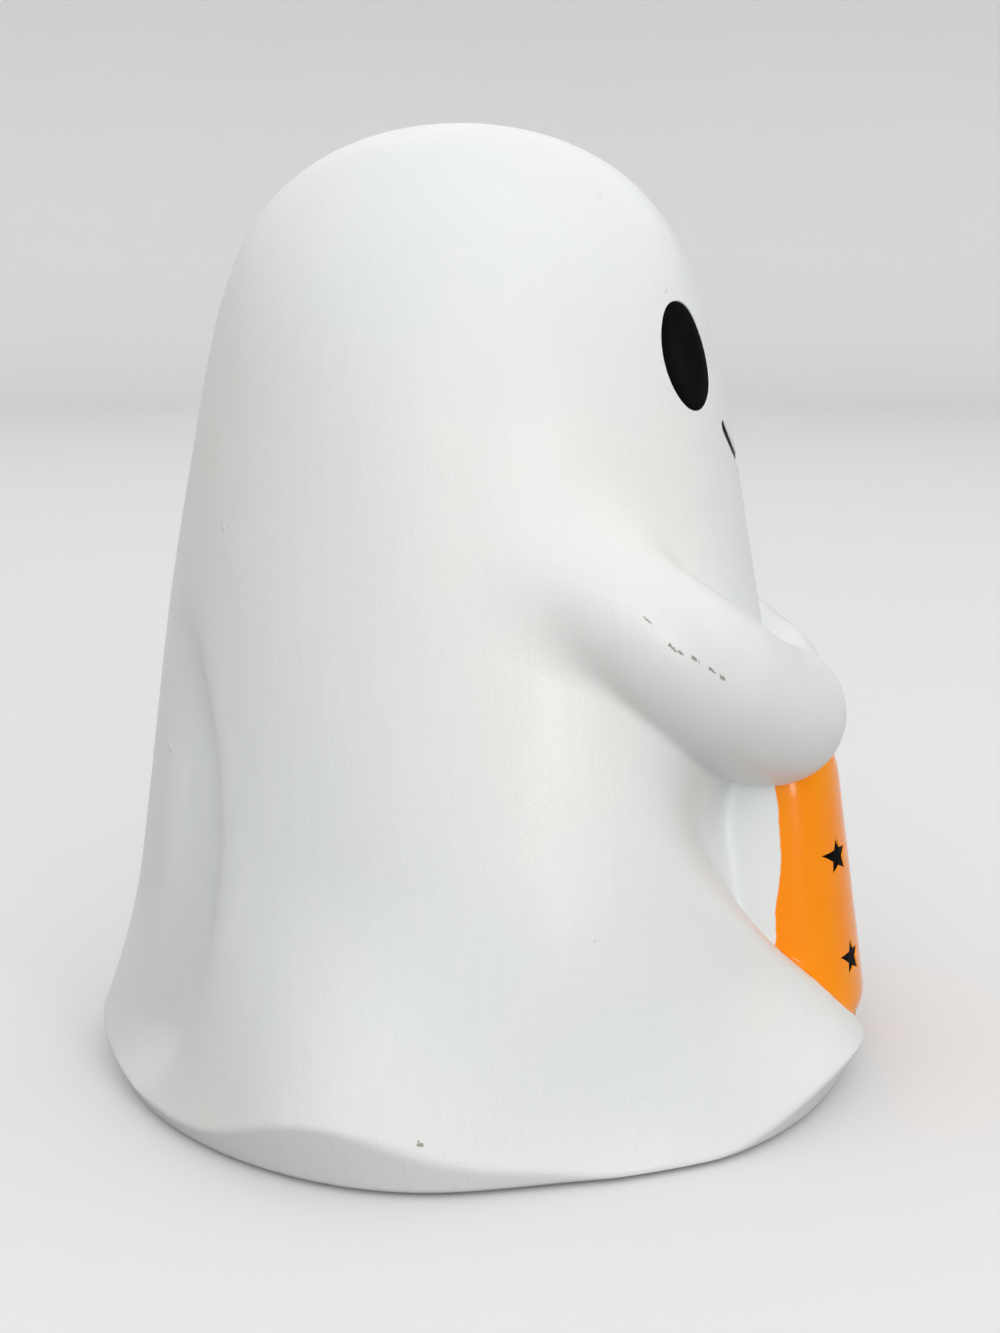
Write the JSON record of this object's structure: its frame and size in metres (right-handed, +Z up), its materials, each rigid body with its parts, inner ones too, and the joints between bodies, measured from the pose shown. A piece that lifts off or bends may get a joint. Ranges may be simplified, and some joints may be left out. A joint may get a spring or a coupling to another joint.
{
  "type": "ceramic ghost figure",
  "caption": "Standing ceramic ghost under a draped sheet with a lobed hem, black eyes and a smile, holding an orange treat bag in front; a hollow casting on felt pads, for seasonal display.",
  "frame": {"origin": "on the table under the figure, on the axis of the pour hole in the base", "axes": "+Z up to the crown, -Y out of the face, -X towards the ghost's right hand"},
  "size_m": [0.162, 0.1715, 0.2],
  "materials": {
    "white_ceramic": "matt white with a faint satin sheen",
    "orange_glaze": "satin gloss orange",
    "black_enamel": "gloss black",
    "felt": "pressed felt"
  },
  "bodies": {
    "root": {"body_shell": "white_ceramic", "right_arm": "white_ceramic", "left_arm": "white_ceramic", "treat_bag": "orange_glaze", "right_eye": "black_enamel", "left_eye": "black_enamel", "smile": "black_enamel", "bag_moon": "black_enamel", "bag_star_1": "black_enamel", "bag_star_2": "black_enamel", "bag_star_3": "black_enamel", "bag_star_4": "black_enamel", "foot_pad_1": "felt", "foot_pad_2": "felt", "foot_pad_3": "felt", "foot_pad_4": "felt"}
  },
  "joints": []
}
